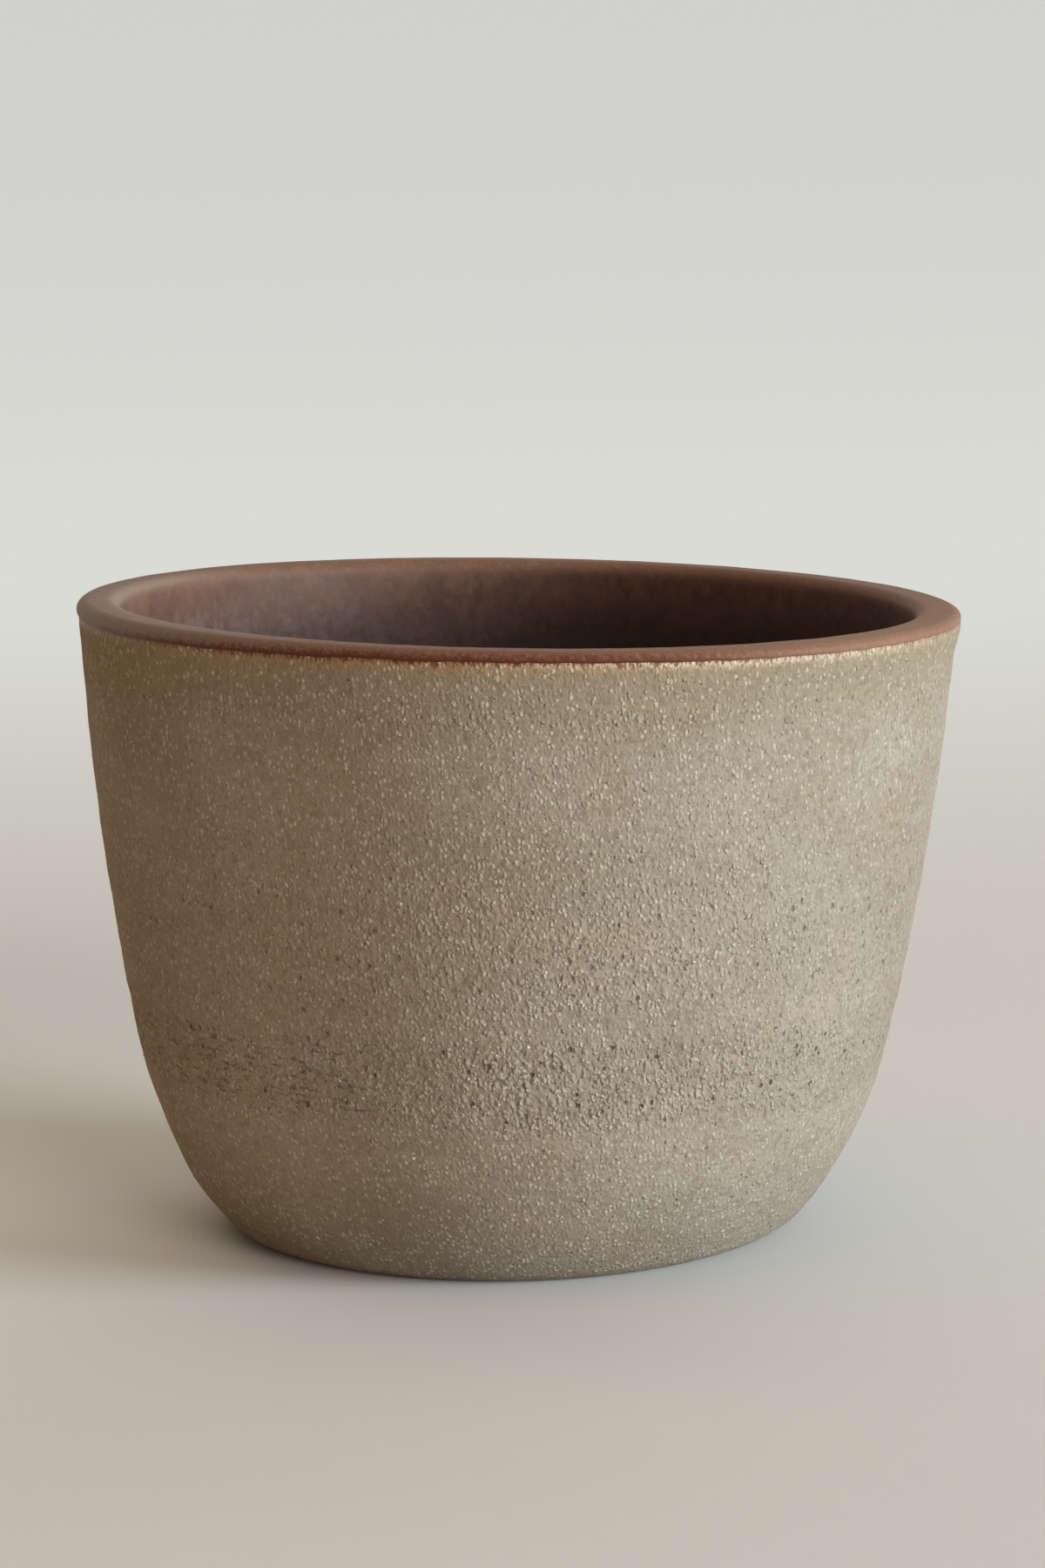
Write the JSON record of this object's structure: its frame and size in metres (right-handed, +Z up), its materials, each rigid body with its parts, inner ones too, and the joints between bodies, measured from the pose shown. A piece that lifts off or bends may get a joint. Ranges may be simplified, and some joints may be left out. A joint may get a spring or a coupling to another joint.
{
  "type": "handle-less cup",
  "caption": "Round handle-less stoneware cup with a gently flaring wall, rounded lip, curved belly and flat foot, glazed inside and over the lip, for holding a drink.",
  "frame": {"origin": "middle of the flat foot, where the thrown axis meets the surface that the cup stands on", "axes": "+Z up out of the mouth, square to the foot; the thrown axis leans 1.85 degrees from +Z towards +X"},
  "size_m": [0.0905, 0.0906, 0.0662],
  "materials": {
    "stoneware": "unglazed groggy grey-tan stoneware, matt, with pale grains, pits and a scorched tan band under the lip",
    "liner_glaze": "satin dark red-brown glaze with a mottled purple-grey bloom near the top",
    "lip_glaze": "thin satin red-brown glaze, paler over the crest"
  },
  "bodies": {
    "root": {"clay_body": "stoneware", "liner_glaze": "liner_glaze", "lip_glaze": "lip_glaze"}
  },
  "joints": []
}
